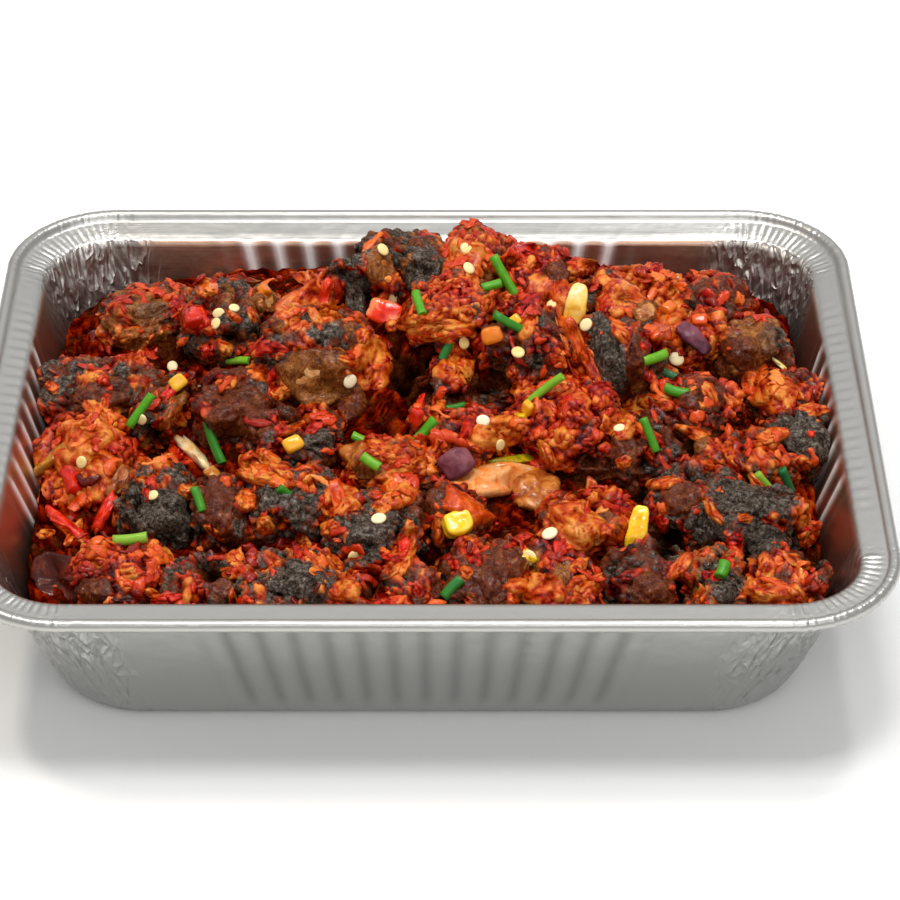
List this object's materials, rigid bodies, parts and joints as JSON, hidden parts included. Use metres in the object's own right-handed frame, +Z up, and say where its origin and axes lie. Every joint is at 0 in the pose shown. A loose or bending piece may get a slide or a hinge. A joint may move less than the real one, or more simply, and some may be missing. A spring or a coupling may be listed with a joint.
{
  "type": "foil tray meal",
  "caption": "Rectangular aluminium foil catering tray with rounded corners and a rolled rim, heaped with chunks of charred meat in chunky red pepper sauce with chopped chives.",
  "frame": {"origin": "middle of the tray's footprint, on the surface it stands on", "axes": "+X along the tray's long side, +Y from the guest's side to the far side, +Z up"},
  "size_m": [0.324, 0.264, 0.0903],
  "materials": {
    "foil": "bright pressed foil",
    "sauce": "thick glossy pepper sauce",
    "meat": "browned fibrous meat, oily",
    "char": "charred grey-black crust, oily",
    "skin": "browned meat with amber skin, oily",
    "pulp": "wet orange-red pepper pulp",
    "yellow": "wet yellow pepper or garlic",
    "orange": "wet orange pepper",
    "red": "wet red pepper",
    "onion": "wet red onion",
    "cream": "wet pale onion",
    "amber": "wet cooked pepper"
  },
  "bodies": {
    "root": {"foil_tray": "foil", "sauce_bed": "sauce", "meat_01": "skin", "meat_02": "char", "pulp_01": "pulp", "meat_03": "char", "meat_04": "skin", "meat_05": "char", "meat_06": "skin", "pulp_02": "pulp", "meat_07": "meat", "meat_08": "char", "pulp_03": "pulp", "meat_09": "skin", "meat_10": "meat", "meat_11": "char", "pulp_04": "pulp", "meat_12": "char", "pulp_05": "pulp", "meat_13": "char", "meat_14": "char", "meat_15": "skin", "meat_16": "meat", "pulp_06": "pulp", "meat_17": "char", "pulp_07": "pulp", "meat_18": "meat", "meat_19": "meat", "meat_20": "char", "meat_21": "char", "meat_22": "meat", "meat_23": "char", "meat_24": "meat", "meat_25": "char", "meat_26": "char", "meat_27": "meat", "meat_28": "meat", "pulp_08": "pulp", "pulp_09": "pulp", "meat_29": "meat", "meat_30": "meat", "pulp_10": "pulp", "meat_31": "meat", "meat_32": "meat", "meat_33": "char", "meat_34": "meat", "meat_35": "char", "meat_36": "meat", "meat_37": "char", "meat_38": "meat", "pulp_11": "pulp", "orange_pepper_fold": "orange", "yellow_pepper_dice": "yellow", "yellow_pepper_bent": "yellow", "red_onion_petal": "onion", "red_onion_strip": "onion", "onion_sliver": "cream", "garlic_slice": "yellow", "red_pepper_strip": "red", "yellow_pepper_curl": "amber"}
  },
  "joints": []
}
